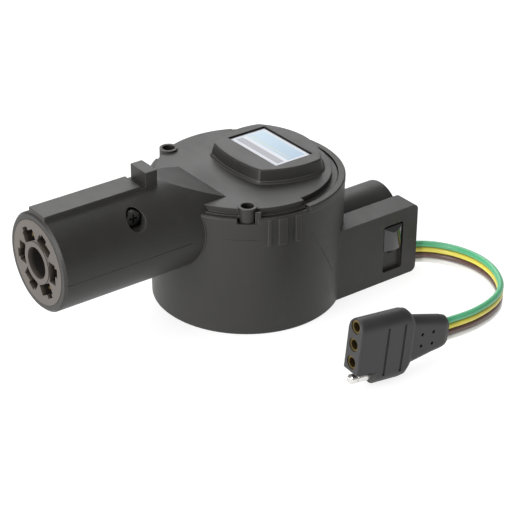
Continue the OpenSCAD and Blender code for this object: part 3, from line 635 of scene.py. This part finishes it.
def connector_cutters():
    """What is taken out of the connector's body: three sockets, the corner round the bare pin, two grip
    grooves on each face, four dimples in the tail, and the lead's pocket. Each is a closed prism along its
    own axis."""
    def rod(start, end, radius, sides=32):
        start, end = np.asarray(start, float), np.asarray(end, float)
        axis = (end - start) / np.linalg.norm(end - start)
        first = np.cross(axis, (0.3, 0.2, 1.0))
        first /= np.linalg.norm(first)
        second = np.cross(axis, first)
        turn = np.linspace(0, 2 * math.pi, sides, endpoint=False)
        ring = radius * (np.cos(turn)[:, None] * first + np.sin(turn)[:, None] * second)
        return capped_grid(np.stack([start + ring, end + ring]))

    def bar(low, high):
        low, high = np.asarray(low, float), np.asarray(high, float)
        corners = np.array([(0, 0, 0), (0, 1, 0), (0, 1, 1), (0, 0, 1)], float)
        rows = np.stack([corners, corners + (1, 0, 0)])
        return capped_grid(low + rows * (high - low))

    cuts = [rod((-1, 0, k * PITCH), (SOCKET_DEPTH, 0, k * PITCH), SOCKET_R) for k in (-0.5, 0.5, 1.5)]
    cuts.append(bar((-1, -9, -20), (CUT_X, 9, -PITCH)))
    half_width, half_length = 0.62, 10.6
    for face in (-1, 1):
        y0, y1 = sorted((face * 4.25, face * 6.5))
        for x in GROOVES_X:
            cuts.append(bar((x - half_width, y0, -half_length), (x + half_width, y1, half_length)))
    for x in (31.4, 36.9):
        for z in (-2.2, 3.0):
            cuts.append(rod((x, -2.6, z), (x, -6, z), 0.72, 20))
    cuts.append(bar((TAIL_X - 5, -1.45, -5.4), (TAIL_X + 2, 1.45, 5.4)))
    points, faces, start = [], [], 0
    for cut_points, cut_faces in cuts:
        points.append(turned(cut_points, CONNECTOR_TURN, CONNECTOR_AT))
        faces += [[start + k for k in face] for face in cut_faces]
        start += len(cut_points)
    return mesh_piece("connector_cuts", np.vstack(points), faces, body=None)


def carve(piece, cutter):
    """Takes the cutter's closed shapes out of a piece, and removes the cutter."""
    outward(piece)
    outward(cutter)
    cut = piece.modifiers.new("cut", "BOOLEAN")
    cut.operation, cut.solver, cut.object = "DIFFERENCE", "EXACT", cutter
    cut.use_self = False
    carved = bpy.data.meshes.new_from_object(piece.evaluated_get(bpy.context.evaluated_depsgraph_get()))
    piece.modifiers.clear()
    piece.data = carved
    bpy.data.objects.remove(cutter)


connector = connector_body_piece()
carve(connector, connector_cutters())
connector.data.materials.clear()
connector.data.materials.append(connector_finish)
connector.data.shade_smooth()
connector.data.set_sharp_from_angle(angle=math.radians(35))
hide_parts("flat_plug_body")


# ---- small mouldings ----

def boss_outline(grow, count=360):
    """The label boss's outline: along each ray from the drum's axis, the nearest of four circles. The reach
    is then averaged over 7 neighbouring rays, which rounds the corners."""
    turn = np.linspace(0, 2 * math.pi, count, endpoint=False)
    ray = np.column_stack([np.cos(turn), np.sin(turn)])
    circles = (
        ((55, 1.5), 61.3 + grow), ((16.5, 12), 33.8 + grow),
        ((13.2, -6.1), 29 + grow), ((0, 0), 30.9 + 0.8 * grow),
    )
    reach = np.full(count, np.inf)
    for centre, radius in circles:
        on = ray @ np.array(centre)
        off = radius**2 - np.dot(centre, centre)
        reach = np.minimum(reach, on + np.sqrt(on**2 + off))
    reach = np.mean([np.roll(reach, k) for k in range(-3, 4)], axis=0)
    return ray * reach[:, None]


def boss_fillet_piece():
    """A concave fillet round the boss's foot: a quarter arc, closed behind and below, carried along the
    outline on its outward normal."""
    outline = boss_outline(BOSS_FOOT)
    heading = np.roll(outline, -1, 0) - np.roll(outline, 1, 0)
    heading /= np.linalg.norm(heading, axis=1)[:, None]
    outwards = np.column_stack([heading[:, 1], -heading[:, 0]])
    size, turn = 1.1, np.linspace(math.pi / 2, 0, 7)
    off = np.concatenate([size * (1 - np.cos(turn)), [-0.8, -0.8]])
    up = np.concatenate([size * (1 - np.sin(turn)), [0.6 * size, -0.3]])
    rows = outline[None] + outwards[None] * off[:, None, None]
    heights = np.broadcast_to(COVER_Z - 0.03 + up[:, None, None], rows.shape[:2] + (1,))
    points = np.concatenate([rows, heights], -1)
    piece = mesh_piece("boss_fillet", points.reshape(-1, 3), grid_faces(len(off), len(outline), ring=True))
    outward(piece)
    piece.data.materials.append(cover_finish)


def barrel_saddle_piece():
    """A bead where the barrel meets the drum: a small circle carried round the barrel on the drum's skin,
    thinning to a tenth at both ends."""
    turn = np.linspace(math.radians(68), math.radians(292), 120)
    y, z = BARREL_R * np.sin(turn), BARREL_Z + BARREL_R * np.cos(turn)
    drum_r = DRUM_BASE_R + (DRUM_RIM_R - DRUM_BASE_R) * z / RIM_Z
    middle = np.column_stack([-np.sqrt(drum_r**2 - y**2), y, z])
    heading = np.gradient(middle, axis=0)
    heading /= np.linalg.norm(heading, axis=1)[:, None]
    outwards = np.column_stack([0 * y, np.sin(turn), np.cos(turn)])
    outwards -= (outwards * heading).sum(1)[:, None] * heading
    outwards /= np.linalg.norm(outwards, axis=1)[:, None]
    third = np.cross(heading, outwards)
    from_end = np.minimum(turn - turn[0], turn[-1] - turn)
    bead = SADDLE_R * np.clip(0.1 + from_end / math.radians(14), 0, 1)[:, None, None]
    ring = np.linspace(0, 2 * math.pi, 14, endpoint=False)
    circle = np.cos(ring)[None, :, None] * outwards[:, None] + np.sin(ring)[None, :, None] * third[:, None]
    piece = mesh_piece("barrel_saddle", *capped_grid(middle[:, None] + bead * circle))
    outward(piece)
    piece.data.materials.append(housing_finish)


boss_fillet_piece()
barrel_saddle_piece()


# ---- floor and light ----

def floor_piece():
    """A pale sweep that glows a little by itself, so that it stays white under a soft light."""
    reach, drop = 3000, -0.02
    corners = [(-reach, -reach, drop), (reach, -reach, drop), (reach, reach, drop), (-reach, reach, drop)]
    floor = mesh_piece("floor", corners, [[0, 1, 2, 3]], body=None)
    finish = Finish("pale_floor", Roughness=0.8, Emission_Color=(1, 1, 1, 1), Emission_Strength=0.8)
    cloud = finish.noise(finish.place(), 3.0)
    floor.data.materials.append(finish.done(
        Base_Color=finish.mix(cloud, (0.30, 0.30, 0.30, 1), (0.32, 0.32, 0.32, 1)),
    ))


def soft_box(name, place, aim, size, watts):
    """A square studio light that faces its aim point, all in metres."""
    data = bpy.data.lights.new(name, "AREA")
    data.shape, data.size, data.energy = "SQUARE", size, watts
    light = bpy.data.objects.new(name, data)
    bpy.context.scene.collection.objects.link(light)
    light.location = place
    light.rotation_euler = (Vector(aim) - Vector(place)).to_track_quat("-Z", "Y").to_euler()


def studio():
    """A dim white room, a large soft box behind that shines along the tops, and one on the plug's side."""
    floor_piece()
    world = bpy.data.worlds.new("studio")
    bpy.context.scene.world = world
    world.use_nodes = True
    room = world.node_tree.nodes["Background"].inputs
    room[0].default_value = (1, 1, 1, 1)
    room[1].default_value = 0.34
    soft_box("back_light", (0.55, 1.15, 0.95), (0, 0, 0.05), 1.2, 13)
    soft_box("overhead_light", (-0.2, 0.1, 1.3), (0, 0, 0.05), 0.9, 6)
    soft_box("left_light", (-1.3, -0.1, 0.45), (-0.05, 0, 0.04), 0.8, 19)
    bpy.context.scene.view_settings.view_transform = "Standard"


studio()
